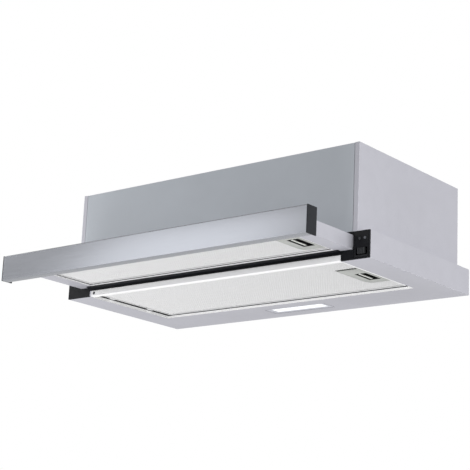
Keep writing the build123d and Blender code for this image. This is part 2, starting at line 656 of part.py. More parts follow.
PANEL_Y = (-DRAWER_OUT, -DRAWER_OUT + PANEL_DEPTH)
PANEL_HALF = HALF - CAP_THICK
PANEL_TOP = PANEL_LOW + 40

with BuildPart() as drawer_front:
    panel_x = (-PANEL_HALF, PANEL_HALF)
    block(panel_x, PANEL_Y, (PANEL_LOW, PANEL_TOP))
    block(
        (-HALF, HALF),
        (PANEL_Y[0] + SHEET, PANEL_Y[1] - SHEET),
        (PANEL_LOW + SHEET, PANEL_TOP - SHEET),
        Mode.SUBTRACT,
    )
    block((-HALF, HALF), (PANEL_Y[1] - 2 * SHEET, PANEL_Y[1] + 1), STRIP_SLOT, Mode.SUBTRACT)
    for x in DRAWER_SCREWS_X:
        rod((x, PANEL_Y[1] - 3, DRAWER_SCREW_Z), 1.6, 6, (0, 1, 0), Mode.SUBTRACT)
save("drawer_front", drawer_front)

for side, name in ((LEFT, "end_cap_left"), (RIGHT, "end_cap_right")):
    with BuildPart() as end_cap:
        cap_y = (-DRAWER_OUT, -DRAWER_OUT + CAP_DEPTH)
        block(across(side, PANEL_HALF, HALF), cap_y, (PANEL_LOW, PANEL_TOP))
        fillet(end_cap.edges().filter_by(Axis.X), 0.6)
        block(across(side, PANEL_HALF - 12, PANEL_HALF), (-146.8, -134.2), (2.2, 39.8))
        block(across(side, PANEL_HALF - 13, PANEL_HALF - 0.2), (-145.2, -135.8), (3.8, 38.2), Mode.SUBTRACT)
    save(name, end_cap)

with BuildPart() as drawer_frame:
    drawer_x = (-DRAWER_HALF, DRAWER_HALF)
    open_x = (FRONT_FILTER_X[0] - 1.5, FRONT_FILTER_X[1] + 1.5)
    open_y = (FRONT_FILTER_Y[0] - 1, FRONT_FILTER_Y[1] + 1.5)
    block(drawer_x, (PANEL_Y[1], DRAWER_REAR), (DRAWER_LOW, DRAWER_LOW + SHEET))
    block(
        (open_x[0] - SHEET, open_x[1] + SHEET),
        (open_y[0] - SHEET, open_y[1] + SHEET),
        (DRAWER_LOW, DRAWER_LOW + 3.5),
    )
    block(open_x, open_y, (DRAWER_LOW - 1, DRAWER_LOW + 5), Mode.SUBTRACT)
    block(drawer_x, (PANEL_Y[1], PANEL_Y[1] + SHEET), (DRAWER_LOW, DRAWER_HIGH))
    block(drawer_x, (DRAWER_REAR - SHEET, DRAWER_REAR), (DRAWER_LOW, 24))
    for side in (LEFT, RIGHT):
        wall_x = across(side, DRAWER_HALF - SHEET, DRAWER_HALF)
        block(wall_x, (PANEL_Y[1], WALL_REAR), (DRAWER_LOW, DRAWER_HIGH))
    block((259, DRAWER_HALF - SHEET), (131, 132), (20, 30))
    for x in DRAWER_SCREWS_X:
        rod((x, PANEL_Y[1] - 3, DRAWER_SCREW_Z), 1.6, 6, (0, 1, 0), Mode.SUBTRACT)
save("drawer_frame", drawer_frame)

with BuildPart() as drawer_cover:
    cover_half = DRAWER_HALF - SHEET - 0.2
    block((-cover_half, cover_half), (PANEL_Y[1] + SHEET, 16), (DRAWER_HIGH - SHEET, DRAWER_HIGH))
save("drawer_cover", drawer_cover)

with BuildPart() as drawer_screws:
    for x in DRAWER_SCREWS_X:
        rod((x, PANEL_Y[1] - 5, DRAWER_SCREW_Z), 1.5, 6, (0, 1, 0))
        rod((x, PANEL_Y[1] + SHEET, DRAWER_SCREW_Z), 2.9, 1.6, (0, 1, 0))
save("drawer_screws", drawer_screws)

# ---------------------------------------------------------------- slides

with BuildPart() as slide_channels:
    channel_y = (CHANNEL_FRONT, CHANNEL_REAR)
    for side in (LEFT, RIGHT):
        block(across(side, *CHANNEL_X), channel_y, CHANNEL_Z)
        for lip_low in (CHANNEL_Z[0], CHANNEL_Z[1] - SHEET):
            block(across(side, 271.2, CHANNEL_X[1]), channel_y, (lip_low, lip_low + SHEET))
        for bracket_y in (30, 130, 235):
            block(across(side, *CHANNEL_X), (bracket_y, bracket_y + 22), (36, PAN_HEIGHT - SHEET))
save("slide_channels", slide_channels)

with BuildPart() as slide_members:
    member_y = (MEMBER_FRONT, WALL_REAR)
    for side in (LEFT, RIGHT):
        block(across(side, DRAWER_HALF, DRAWER_HALF + SHEET), member_y, MEMBER_Z)
        for flange_low in (MEMBER_Z[0], MEMBER_Z[1] - SHEET):
            block(across(side, DRAWER_HALF, 274), member_y, (flange_low, flange_low + SHEET))
save("slide_members", slide_members)

with BuildPart() as ball_cages:
    cage_y = (CAGE_FRONT, CAGE_FRONT + CAGE_LENGTH)
    for side in (LEFT, RIGHT):
        block(across(side, CAGE_X - 0.6, CAGE_X), cage_y, (BALL_TRACKS[0] - 0.2, BALL_TRACKS[1] + 0.2))
        for track in BALL_TRACKS:
            block(across(side, 271.5, CAGE_X), cage_y, (track - 0.2, track + 0.2))
            for ball in range(5):
                ball_y = CAGE_FRONT + 5.5 + ball * BALL_PITCH
                hole_start = (side * BALL_X, ball_y, track - 2)
                rod(hole_start, BALL_RADIUS + 0.12, 4, (0, 0, 1), Mode.SUBTRACT)
                with Locations(at(side * BALL_X, ball_y, track)):
                    Sphere(BALL_RADIUS)
save("ball_cages", ball_cages)
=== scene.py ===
import json
import math

import bmesh
import bpy
from mathutils import Matrix, Vector


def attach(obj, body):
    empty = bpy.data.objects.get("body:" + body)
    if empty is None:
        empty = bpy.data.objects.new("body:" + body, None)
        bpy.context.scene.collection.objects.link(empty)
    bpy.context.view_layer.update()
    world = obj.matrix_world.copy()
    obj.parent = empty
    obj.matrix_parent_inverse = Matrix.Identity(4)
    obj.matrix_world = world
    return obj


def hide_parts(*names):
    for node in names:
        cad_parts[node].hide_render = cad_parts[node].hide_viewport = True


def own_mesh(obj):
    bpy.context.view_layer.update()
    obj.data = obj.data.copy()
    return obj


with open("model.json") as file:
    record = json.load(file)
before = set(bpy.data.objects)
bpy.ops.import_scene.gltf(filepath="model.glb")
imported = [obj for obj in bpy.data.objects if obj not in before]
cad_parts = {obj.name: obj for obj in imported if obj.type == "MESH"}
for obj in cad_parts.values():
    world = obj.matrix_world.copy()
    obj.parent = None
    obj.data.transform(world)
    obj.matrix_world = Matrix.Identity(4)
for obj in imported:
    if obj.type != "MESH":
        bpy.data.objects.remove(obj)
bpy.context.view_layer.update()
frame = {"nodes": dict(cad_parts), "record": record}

NODES = frame["nodes"]
RECORD = frame["record"]
MM = 0.001
DEPTH_ORIGIN = 135
HEIGHT_ORIGIN = 175


def hood(x, y, z):
    """A point in hood measures (mm from the middle, pan's front edge and underside), in metres."""
    return Vector((x, y - DEPTH_ORIGIN, z - HEIGHT_ORIGIN)) * MM


# ---------------------------------------------------------------- materials

GRAIN_STRETCH = (0.012, 1, 1)
# Heights of the painted shade band on the strip's top bend and of the painted highlight band on its bottom
# bend, and the factors that darken and lighten the colour there
TOP_BEND = (40.0, 40.5, 40.8, 40.97)
BOTTOM_BEND = (2.4, 1.6)
TOP_BEND_PAINTED_SHADE = 0.25
BOTTOM_BEND_PAINTED_HIGHLIGHT = 1.5
GLOW = (0.18, 0.24)


class Finish:
    """A Principled material and the node helpers that give it its detail."""

    def __init__(self, name, color, roughness, metallic=0.0):
        self.material = bpy.data.materials.new(name)
        self.material.use_nodes = True
        self.tree = self.material.node_tree
        self.shader = self.tree.nodes["Principled BSDF"]
        self.color = color
        self.roughness = roughness
        self.shader.inputs["Base Color"].default_value = (*color, 1)
        self.shader.inputs["Roughness"].default_value = roughness
        self.shader.inputs["Metallic"].default_value = metallic
        self.place = self.node("ShaderNodeTexCoord").outputs["Object"]
        self.normal = None

    def node(self, kind, **settings):
        made = self.tree.nodes.new(kind)
        for key, value in settings.items():
            setattr(made, key, value)
        return made

    def join(self, source, target):
        self.tree.links.new(source, target)

    def noise(self, scale, detail=2.0, roughness=0.5, stretch=(1, 1, 1), kind="ShaderNodeTexNoise"):
        """Noise of this many cells a metre, drawn out along an axis where stretch is below 1."""
        mapping = self.node("ShaderNodeMapping")
        mapping.inputs["Scale"].default_value = stretch
        self.join(self.place, mapping.inputs["Vector"])
        texture = self.node(kind)
        texture.inputs["Scale"].default_value = scale
        if kind == "ShaderNodeTexNoise":
            texture.inputs["Detail"].default_value = detail
            texture.inputs["Roughness"].default_value = roughness
        self.join(mapping.outputs["Vector"], texture.inputs["Vector"])
        return texture.outputs["Fac" if kind == "ShaderNodeTexNoise" else "Distance"]

    def spread(self, value, low, high, from_low=0.3, from_high=0.7):
        ranged = self.node("ShaderNodeMapRange")
        self.join(value, ranged.inputs["Value"])
        ranged.inputs["From Min"].default_value = from_low
        ranged.inputs["From Max"].default_value = from_high
        ranged.inputs["To Min"].default_value = low
        ranged.inputs["To Max"].default_value = high
        return ranged.outputs["Result"]

    def mix(self, factor, first, second):
        mixed = self.node("ShaderNodeMix", data_type="RGBA")
        self.join(factor, mixed.inputs["Factor"])
        for socket, value in ((mixed.inputs[6], first), (mixed.inputs[7], second)):
            if isinstance(value, bpy.types.NodeSocket):
                self.join(value, socket)
            else:
                socket.default_value = (*value, 1)
        return mixed.outputs[2]

    def math(self, operation, first, second):
        made = self.node("ShaderNodeMath", operation=operation)
        for socket, value in zip(made.inputs, (first, second)):
            if isinstance(value, bpy.types.NodeSocket):
                self.join(value, socket)
            else:
                socket.default_value = value
        return made.outputs[0]

    def shade(self, value, amount, low=0.3, high=0.7):
        """Base colour that varies by this share with a value."""
        darker = tuple(c * (1 - amount) for c in self.color)
        lighter = tuple(min(1.0, c * (1 + amount)) for c in self.color)
        mixed = self.mix(self.spread(value, 0, 1, low, high), darker, lighter)
        self.join(mixed, self.shader.inputs["Base Color"])
        return mixed

    def rough(self, value, amount, low=0.3, high=0.7):
        """Roughness that varies by this much with a value."""
        ranged = self.spread(value, self.roughness - amount, self.roughness + amount, low, high)
        self.join(ranged, self.shader.inputs["Roughness"])

    def bump(self, value, height, strength=1.0):
        """Adds relief of this height in metres to what is there."""
        made = self.node("ShaderNodeBump")
        made.inputs["Distance"].default_value = height
        made.inputs["Strength"].default_value = strength
        self.join(value, made.inputs["Height"])
        if self.normal is not None:
            self.join(self.normal, made.inputs["Normal"])
        self.normal = made.outputs["Normal"]
        self.join(self.normal, self.shader.inputs["Normal"])

    def worn(self, base, tone, low=0.52, high=0.6):
        """Blends a tone in along the outer edges."""
        edge = self.node("ShaderNodeNewGeometry").outputs["Pointiness"]
        mixed = self.mix(self.spread(edge, 0, 1, low, high), base, tone)
        self.join(mixed, self.shader.inputs["Base Color"])


def painted(name, color, roughness, metallic=0.25):
    """Sheet metal under powder coat: orange peel, faint flake, faint cloudiness."""
    made = Finish(name, color, roughness, metallic)
    cloud = made.noise(9, 3)
    tone = made.shade(cloud, 0.035)
    made.worn(tone, tuple(min(1.0, c * 1.25) for c in color))
    made.rough(made.noise(60, 3), 0.05)
    made.bump(made.noise(420, 2), 0.00004, 0.5)
    made.bump(made.noise(3000, 1), 0.00001, 0.35)
    made.shader.inputs["Coat Weight"].default_value = 0.15
    made.shader.inputs["Coat Roughness"].default_value = 0.25
    return made.material


def brushed(name, color, roughness, grain=1.0):
    """Brushed metal, its grain along X."""
    made = Finish(name, color, roughness, 1.0)
    fine = made.noise(2600, 3, 0.6, GRAIN_STRETCH)
    coarse = made.noise(700, 2, 0.5, GRAIN_STRETCH)
    both = made.math("ADD", made.math("MULTIPLY", fine, 0.75), made.math("MULTIPLY", coarse, 0.25))
    made.shade(both, 0.07 * grain)
    made.rough(both, 0.03 * grain)
    made.bump(both, 0.00002, 0.25 * grain)
    made.shader.inputs["Anisotropic"].default_value = 0.6
    tangent = made.node("ShaderNodeTangent", direction_type="RADIAL", axis="X")
    made.join(tangent.outputs["Tangent"], made.shader.inputs["Tangent"])
    return made


def brushed_strip(name, color, roughness):
    """The drawer's brushed strip, with a painted shade along its top bend and a painted highlight along its
    bottom bend.
    """
    made = brushed(name, color, roughness)
    split = made.node("ShaderNodeSeparateXYZ")
    made.join(made.place, split.inputs["Vector"])
    height = split.outputs["Z"]
    grain = made.shader.inputs["Base Color"].links[0].from_socket
    rise_start, rise_end, fall_start, fall_end = (hood(0, 0, z).z for z in TOP_BEND)
    rising = made.spread(height, 0, 1, rise_start, rise_end)
    falling = made.spread(height, 1, 0, fall_start, fall_end)
    # painted shade: darkens the strip's top bend
    top_shade_mask = made.math("MULTIPLY", rising, falling)
    with_top_shade = made.mix(top_shade_mask, grain, tuple(c * TOP_BEND_PAINTED_SHADE for c in color))
    # painted highlight: lightens the strip's bottom bend
    bottom_highlight_mask = made.spread(height, 0, 1, *(hood(0, 0, z).z for z in BOTTOM_BEND))
    whole = made.mix(bottom_highlight_mask, with_top_shade, tuple(c * BOTTOM_BEND_PAINTED_HIGHLIGHT for c in color))
    made.join(whole, made.shader.inputs["Base Color"])
    return made


def plated(name, color, roughness):
    """Zinc plated or plain steel: spangle and fine rolling marks."""
    made = Finish(name, color, roughness, 0.95)
    spangle = made.noise(260, 0, kind="ShaderNodeTexVoronoi")
    made.shade(spangle, 0.12, 0.0, 0.8)
    made.rough(made.noise(900, 2), 0.08)
    made.bump(made.noise(1800, 2), 0.00002, 0.4)
    return made.material


def moulded(name, color, roughness, grain=0.5, specular=0.5):
    """Moulded plastic with a spark-eroded grain and slightly lighter edges."""
    made = Finish(name, color, roughness)
    made.shader.inputs["Specular IOR Level"].default_value = specular
    tone = made.shade(made.noise(40, 3), 0.08)
    made.worn(tone, tuple(min(1.0, c * 1.5 + 0.01) for c in color))
    made.rough(made.noise(120, 3), 0.05)
    made.bump(made.noise(2200, 2), 0.00003, grain)
    return made.material


def board(name, color):
    """Printed circuit board: traces under the solder resist."""
    made = Finish(name, color, 0.35)
    traces = made.noise(500, 0, kind="ShaderNodeTexVoronoi")
    tone = made.shade(traces, 0.35, 0.1, 0.5)
    made.worn(tone, (0.35, 0.32, 0.18))
    made.bump(traces, 0.00004, 0.4)
    return made.material


def opal(name, color):
    """Opal diffuser, lit from behind."""
    made = Finish(name, color, 0.3)
    glow = made.spread(made.noise(60, 2), *GLOW)
    made.shader.inputs["Emission Color"].default_value = (*color, 1)
    made.join(glow, made.shader.inputs["Emission Strength"])
    made.rough(made.noise(500, 2), 0.05)
    made.bump(made.noise(2500, 1), 0.00002, 0.3)
    return made.material


def bright_metal(name, color, roughness, metallic=0.55):
    """Bright rolled aluminium: faint rolling lines and soft scuffs."""
    made = Finish(name, color, roughness, metallic)
    lines = made.noise(900, 2, 0.5, (0.03, 1, 1))
    made.shade(lines, 0.04)
    made.rough(made.noise(150, 3), 0.08)
    made.bump(lines, 0.00002, 0.3)
    return made.material


def shaded_core_pack(name, color):
    """The deeper layers of a filter, seen through the outer mesh: crossed strands and gaps, coloured near
    black as painted shade for their depth, the gaps painted darker still as shade.
    """
    made = Finish(name, color, 0.4, 0.5)
    cells = made.noise(330, 0, kind="ShaderNodeTexVoronoi")
    strands = made.noise(900, 2)
    made.shade(strands, 0.2)
    # painted shade: the gaps between the cells darkened
    gap = made.spread(cells, 0, 1, 0.25, 0.5)
    tone = made.mix(gap, color, tuple(c * 0.45 for c in color))
    made.join(tone, made.shader.inputs["Base Color"])
    made.rough(strands, 0.1)
    made.bump(cells, 0.0004, 0.8)
    return made.material


FINISHES = {
    "silver_paint": painted("silver_paint", (0.50, 0.50, 0.55), 0.42),
    # A darker, cooler copy of silver_paint for the front sheet: painted shade on the front face of the same
    # paint
    "shaded_front_silver": painted("shaded_front_silver", (0.475, 0.505, 0.545), 0.42),
    "white_trim": painted("white_trim", (0.86, 0.86, 0.88), 0.35, 0.0),
    # the strip's finish carries a painted shade on its top bend and a painted highlight on its bottom bend
    "brushed_front": brushed_strip("brushed_front", (0.49, 0.505, 0.545), 0.24).material,
    "black_plastic": moulded("black_plastic", (0.003, 0.0035, 0.0055), 0.5, 0.5, 0.2),
    "slate_plastic": moulded("slate_plastic", (0.007, 0.009, 0.013), 0.5, 0.5, 0.3),
    "lamp_grey": moulded("lamp_grey", (0.47, 0.475, 0.52), 0.45, 0.4),
    # Near-black copy of the latch plastic: painted shade for the inside of the latch pocket, the groove
    # along the plate's front edge, and the slide's web and tongue
    "latch_painted_shade": moulded("latch_painted_shade", (0.006, 0.0065, 0.006), 0.6, 0.4, 0.2),
    "fascia_gloss": moulded("fascia_gloss", (0.003, 0.0032, 0.0048), 0.3, 0.15, 0.22),
    "control_grey": moulded("control_grey", (0.10, 0.105, 0.12), 0.40),
    "slider_black": moulded("slider_black", (0.016, 0.017, 0.019), 0.35, 0.3, 0.4),
    "button_dark": moulded("button_dark", (0.035, 0.037, 0.042), 0.4, 0.3, 0.4),
    "filter_mesh": bright_metal("filter_mesh", (0.79, 0.79, 0.795), 0.45, 0.15),
    "filter_frame": bright_metal("filter_frame", (0.90, 0.90, 0.91), 0.36, 0.2),
    "latch_grey": moulded("latch_grey", (0.36, 0.37, 0.355), 0.45),
    # Lighter copy of latch_grey for the latch grip: painted highlight
    "grip_painted_highlight": moulded("grip_painted_highlight", (0.60, 0.61, 0.58), 0.4),
    "zinc_steel": plated("zinc_steel", (0.55, 0.56, 0.58), 0.35),
    "bright_steel": brushed("bright_steel", (0.66, 0.66, 0.68), 0.18, 0.5).material,
    "screw_steel": plated("screw_steel", (0.50, 0.50, 0.52), 0.32),
    "dark_screw": plated("dark_screw", (0.07, 0.07, 0.08), 0.40),
    "cage_plastic": moulded("cage_plastic", (0.70, 0.68, 0.62), 0.45),
    "blower_plastic": moulded("blower_plastic", (0.07, 0.07, 0.078), 0.5, 0.8),
    "wheel_plastic": moulded("wheel_plastic", (0.66, 0.66, 0.64), 0.5),
    "motor_steel": plated("motor_steel", (0.36, 0.37, 0.39), 0.38),
    "capacitor_white": moulded("capacitor_white", (0.75, 0.75, 0.73), 0.3, 0.3),
    "switch_body": moulded("switch_body", (0.02, 0.02, 0.022), 0.4),
    "circuit_board": board("circuit_board", (0.03, 0.16, 0.07)),
    "lamp_diffuser": opal("lamp_diffuser", (0.95, 0.97, 1.0)),
    # near-black stand-in for the deeper mesh layers: painted shade
    "shaded_mesh_core": shaded_core_pack("shaded_mesh_core", (0.05, 0.05, 0.052)),
    # Dark lines: the lamp's seam, and painted shadow in the gaps round the filters
    "seam_and_gap_shadow": moulded("seam_and_gap_shadow", (0.04, 0.042, 0.05), 0.5),
}


# ---------------------------------------------------------------- mesh helpers

SHARP = 32
SOFTENED = 40
BEVEL_SEGMENTS = 2
LEAST_MITRE = 0.3


def piece(name, mesh_source, body, slot, stands_for=(), finish=None):
    """A finished piece: an object with a finish, riding on its CAD body."""
    mesh = bpy.data.meshes.new(name)
    bmesh.ops.recalc_face_normals(mesh_source, faces=mesh_source.faces)
    limit = math.radians(SHARP)
    for edge in mesh_source.edges:
        edge.smooth = len(edge.link_faces) == 2 and edge.calc_face_angle(math.pi) < limit
    for face in mesh_source.faces:
        face.smooth = True
    mesh_source.to_mesh(mesh)
    mesh_source.free()
    obj = bpy.data.objects.new(name, mesh)
    bpy.context.scene.collection.objects.link(obj)
    mesh.materials.append(FINISHES[finish or slot])
    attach(obj, body)
    if stands_for:
        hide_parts(*stands_for)
    return obj


def soften(obj, width):
    """Rounds the sharp edges a little, as a pressed or moulded piece has them."""
    bevel = obj.modifiers.new("soft_edges", "BEVEL")
    bevel.width = width * MM
    bevel.segments = BEVEL_SEGMENTS
    bevel.limit_method = "ANGLE"
    bevel.angle_limit = math.radians(SOFTENED)
    bevel.harden_normals = True


def rounded(path, radius, steps=6):
    """A 2D line with its corners turned on a radius."""
    points = [Vector(p) for p in path]
    made = [points[0]]
    for before, corner, after in zip(points, points[1:], points[2:]):
        way_in = (corner - before).normalized()
        way_out = (after - corner).normalized()
        turn = math.atan2(way_in.x * way_out.y - way_in.y * way_out.x, way_in.dot(way_out))
        reach = radius * math.tan(abs(turn) / 2)
        start = corner - way_in * reach
        side = 1 if turn > 0 else -1
        centre = start + Vector((-way_in.y, way_in.x)) * side * radius
        for step in range(steps + 1):
            made.append(centre + Matrix.Rotation(turn * step / steps, 2) @ (start - centre))
    made.append(points[-1])
    return made


def strip_outline(line, thickness):
    """The closed outline of a strip of sheet round a centreline."""
    left, right = [], []
    for index, point in enumerate(line):
        ways = []
        if index:
            ways.append((point - line[index - 1]).normalized())
        if index < len(line) - 1:
            ways.append((line[index + 1] - point).normalized())
        normals = [Vector((-w.y, w.x)) for w in ways]
        normal = sum(normals, Vector((0, 0))).normalized()
        offset = normal * (thickness / 2 / max(LEAST_MITRE, normal.dot(normals[0])))
        left.append(point + offset)
        right.append(point - offset)
    return left + right[::-1]


def bridge(bm, loops):
    """Faces between each loop of vertices and the next, each loop being closed."""
    for first, second in zip(loops, loops[1:]):
        for index in range(len(first)):
            after = (index + 1) % len(first)
            bm.faces.new((first[index], first[after], second[after], second[index]))


def cap(bm, loops):
    """A face over the first loop and one over the last."""
    bm.faces.new(loops[0][::-1])
    bm.faces.new(loops[-1])


def stack(levels, place):
    """A closed bmesh through outlines of equal length, [(outline, height), ...].

    place(u, v, w) gives the point in metres of an outline's point (u, v) at height w."""
    bm = bmesh.new()
    loops = [[bm.verts.new(place(p[0], p[1], height)) for p in outline] for outline, height in levels]
    bridge(bm, loops)
    cap(bm, loops)
    return bm


def prism(outline, place, start, end):
    """A bmesh of an outline carried along an axis."""
    return stack([(outline, start), (outline, end)], place)


def along_x(u, v, w):
    return hood(w, u, v)


def along_y(u, v, w):
    return hood(u, w, v)


def along_z(u, v, w):
    return hood(u, v, w)


def inset(span, amount):
    """A range drawn in at both ends."""
    return (span[0] + amount, span[1] - amount)


def rectangle(x, y):
    """Outline of a rectangle between two ranges."""
    return [(x[0], y[0]), (x[1], y[0]), (x[1], y[1]), (x[0], y[1])]


def rounded_rectangle(x, y, radii, steps=8):
    """Outline of a rectangle between two ranges, with a radius for each corner from front left on."""
    made = []
    for index, (corner, radius) in enumerate(zip(rectangle(x, y), radii)):
        inward = ((1, 1), (-1, 1), (-1, -1), (1, -1))[index]
        centre = Vector((corner[0] + inward[0] * radius, corner[1] + inward[1] * radius))
        first = math.pi + index * math.pi / 2
        for step in range(steps + 1):
            angle = first + step / steps * math.pi / 2
            made.append(centre + Vector((math.cos(angle), math.sin(angle))) * radius)
    return made


def ring(x, y, rims, section):
    """A frame round a rectangle. rims is (left, right, front, back); section holds (share, extra, z)
    points, whose distance in from the outside is share of that side's rim plus extra."""
    bm = bmesh.new()
    loops = []
    for share, extra, z in section:
        left, right, front, back = (share * rim + extra for rim in rims)
        corners = (
            (x[0] + left, y[0] + front),
            (x[1] - right, y[0] + front),
            (x[1] - right, y[1] - back),
            (x[0] + left, y[1] - back),
        )
        loops.append([bm.verts.new(hood(cx, cy, z)) for cx, cy in corners])
    bridge(bm, loops + loops[:1])
    return bm


def merged(*parts):
    """Several bmeshes as one."""
    whole = bmesh.new()
    for part in parts:
        mesh = bpy.data.meshes.new("part")
        part.to_mesh(mesh)
        part.free()
        whole.from_mesh(mesh)
        bpy.data.meshes.remove(mesh)
    return whole


def carved(body, *cutters):
    """A bmesh with others cut out of it."""
    scene = bpy.context.scene
    objects = []
    for part in (body, *cutters):
        bmesh.ops.recalc_face_normals(part, faces=part.faces)
        mesh = bpy.data.meshes.new("carve")
        part.to_mesh(mesh)
        part.free()
        obj = bpy.data.objects.new("carve", mesh)
        scene.collection.objects.link(obj)
        objects.append(obj)
    for cutter in objects[1:]:
        cut = objects[0].modifiers.new("cut", "BOOLEAN")
        cut.operation = "DIFFERENCE"
        cut.solver = "EXACT"
        cut.object = cutter
    depsgraph = bpy.context.evaluated_depsgraph_get()
    evaluated = objects[0].evaluated_get(depsgraph)
    result = bmesh.new()
    result.from_mesh(evaluated.to_mesh())
    evaluated.to_mesh_clear()
    for obj in objects:
        mesh = obj.data
        bpy.data.objects.remove(obj)
        bpy.data.meshes.remove(mesh)
    return result


# ---------------------------------------------------------------- carried-over CAD nodes

SLOT_OF = {part["node"]: part["material_slot"] for part in RECORD["subparts"]}
EDGE_WIDTH = {
    "silver_paint": 0.35,
    "black_plastic": 0.5,
    "slate_plastic": 0.4,
    "zinc_steel": 0.2,
    "blower_plastic": 0.5,
    "capacitor_white": 0.8,
}
PLAIN_EDGE = 0.25
WELD_REACH = 0.000005
UNBEVELLED = ("latch_spring", "ball_cages", "impeller", "top_sheet", "back_sheet")
# front_sheet takes the darker, cooler copy of its paint as painted shade
FINISH_OF = {"front_sheet": "shaded_front_silver", "speed_slider": "slider_black", "light_button": "button_dark"}

for name, obj in NODES.items():
    slot_name = SLOT_OF[name]
    finish = FINISHES[FINISH_OF.get(name, slot_name)]
    for index in range(max(1, len(obj.material_slots))):
        if index < len(obj.material_slots):
            obj.material_slots[index].material = finish
        else:
            obj.data.materials.append(finish)
    if not any(part in name for part in UNBEVELLED):
        weld = obj.modifiers.new("weld", "WELD")
        weld.merge_threshold = WELD_REACH
        soften(obj, EDGE_WIDTH.get(slot_name, PLAIN_EDGE))

# ---------------------------------------------------------------- drawer front

STRIP_PATH = [(-133.5, 13.0), (-133.5, 1.5), (-147.5, 1.5), (-147.5, 40.5), (-133.5, 40.5), (-133.5, 28)]
STRIP_BEND = 1.1
STRIP_HALF = 297.5
SHEET = 1.0
TRIM_EDGE = 0.2
strip = prism(strip_outline(rounded(STRIP_PATH, STRIP_BEND), SHEET), along_x, -STRIP_HALF, STRIP_HALF)
front_strip = piece("front_strip", strip, "drawer", "brushed_front", ["drawer_front"])
soften(front_strip, TRIM_EDGE)

# ---------------------------------------------------------------- crossbar and wiper

CROSSBAR_PATH = [(1.7, 6.4), (1.7, 8.9), (0.5, 8.9), (0.5, 0.5), (7.5, 0.5), (7.5, 5.0)]
BAR_BEND = 0.59
BAR_END = -246
BAR_HALF = 249.7
TAB_BEND = 0.9
TAB_GAP = 0.1
bar = prism(strip_outline(rounded(CROSSBAR_PATH, BAR_BEND), SHEET), along_x, BAR_END, BAR_HALF)
crossbar = piece("crossbar", bar, "hood", "white_trim", ["front_crossbar"])
soften(crossbar, TRIM_EDGE)
TAB_PATH = [(0.9, 9.3), (0.9, 0.5), (7.5, 0.5), (7.5, 5.0)]
tab_bar = prism(strip_outline(rounded(TAB_PATH, TAB_BEND), SHEET), along_x, -BAR_HALF, BAR_END - TAB_GAP)
soften(piece("crossbar_end_tab", tab_bar, "hood", "silver_paint"), TRIM_EDGE)

# ---------------------------------------------------------------- screws


THREAD_PITCH = 0.5
THREAD_DEPTH = 0.18
CROWN_EDGE = 0.35
CROSS_REACH = 0.55
CROSS_HALF_WIDTH = 0.11
CROSS_DEPTH = 0.4
SCREW_SPIN = 0.7


def turned(profile, steps=24):
    """A closed body turned about Z from (radius, height) points in mm, in metres."""
    bm = bmesh.new()
    loops = []
    for radius, height in profile:
        if radius == 0:
            loops.append([bm.verts.new((0, 0, height * MM))])
            continue
        angles = (2 * math.pi * step / steps for step in range(steps))
        points = [Vector((radius * math.cos(a), radius * math.sin(a), height)) * MM for a in angles]
        loops.append([bm.verts.new(point) for point in points])
    for first, second in zip(loops, loops[1:]):
        for index in range(steps):
            after = (index + 1) % steps
            corners = [first[index % len(first)], first[after % len(first)]]
            corners += [second[after % len(second)], second[index % len(second)]]
            bm.faces.new(list(dict.fromkeys(corners)))
    return bm


def screw_mesh(head_radius, head_height, shank_radius, shank_length):
    """A pan head screw along Z with a cross recess; the head stands on the origin's plane."""
    thread = []
    turns = int(shank_length / THREAD_PITCH)
    for turn in range(turns):
        depth = -shank_length + turn * THREAD_PITCH
        thread += [(shank_radius - THREAD_DEPTH, depth), (shank_radius, depth + THREAD_PITCH / 2)]
    dome = [
        (head_radius * math.cos(a), head_height * (CROWN_EDGE + (1 - CROWN_EDGE) * math.sin(a)))
        for a in (math.radians(degrees) for degrees in (0, 18, 36, 54, 72))
    ]
    profile = [(0, -shank_length), *thread, (shank_radius, 0), (head_radius, 0), *dome, (0, head_height)]
    body = turned(profile)
    arms = []
    half = (head_radius * CROSS_REACH, head_radius * CROSS_HALF_WIDTH)
    for sides in (half, half[::-1]):
        reach = Vector((*sides, head_height * CROSS_DEPTH)) * MM
        arm = bmesh.new()
        bmesh.ops.create_cube(arm, size=2)
        bmesh.ops.scale(arm, verts=arm.verts, vec=reach)
        bmesh.ops.translate(arm, verts=arm.verts, vec=(0, 0, head_height * MM))
        arms.append(arm)
    return carved(body, *arms)


def copies(source, places, direction):
    """One bmesh of a source repeated at points in hood measures, its Z turned to a direction."""
    turn = Vector(direction).to_track_quat("Z", "Y").to_matrix().to_4x4()
    parts = []
    for index, place in enumerate(places):
        part = source.copy()
        spin = Matrix.Rotation(SCREW_SPIN * index, 4, "Z")
        whole = Matrix.Translation(hood(*place)) @ turn @ spin
        bmesh.ops.transform(part, matrix=whole, verts=part.verts)
        parts.append(part)
    source.free()
    return merged(*parts)


COLLAR_SCREW = 65 * math.sqrt(0.5)
COLLAR_FLANGE = 1.5
HOUSING_BACK = 275.0
BACK_SCREW_X = 271.5
BACK_PLACES = [
    (side * BACK_SCREW_X, HOUSING_BACK, height) for side in (-1, 1) for height in (70, 110, 150)
]
COLLAR_PLACES = [
    (side * COLLAR_SCREW, DEPTH_ORIGIN + way * COLLAR_SCREW, HEIGHT_ORIGIN + COLLAR_FLANGE)
    for side in (-1, 1) for way in (-1, 1)
]
DRAWER_PLACES = [(x, -132.0, 32.0) for x in (-200, -70, 70, 200)]
BAR_PLACES = [(-240, 0, 4.7)]
back_screws = copies(screw_mesh(3.4, 1.6, 1.5, 6), BACK_PLACES, (0, 1, 0))
collar_screws = copies(screw_mesh(3.0, 1.5, 1.5, 5.5), COLLAR_PLACES, (0, 0, 1))
piece("housing_cross_screws", merged(back_screws, collar_screws), "hood", "screw_steel", ["housing_screws"])
drawer_cross = copies(screw_mesh(2.9, 1.6, 1.5, 5), DRAWER_PLACES, (0, 1, 0))
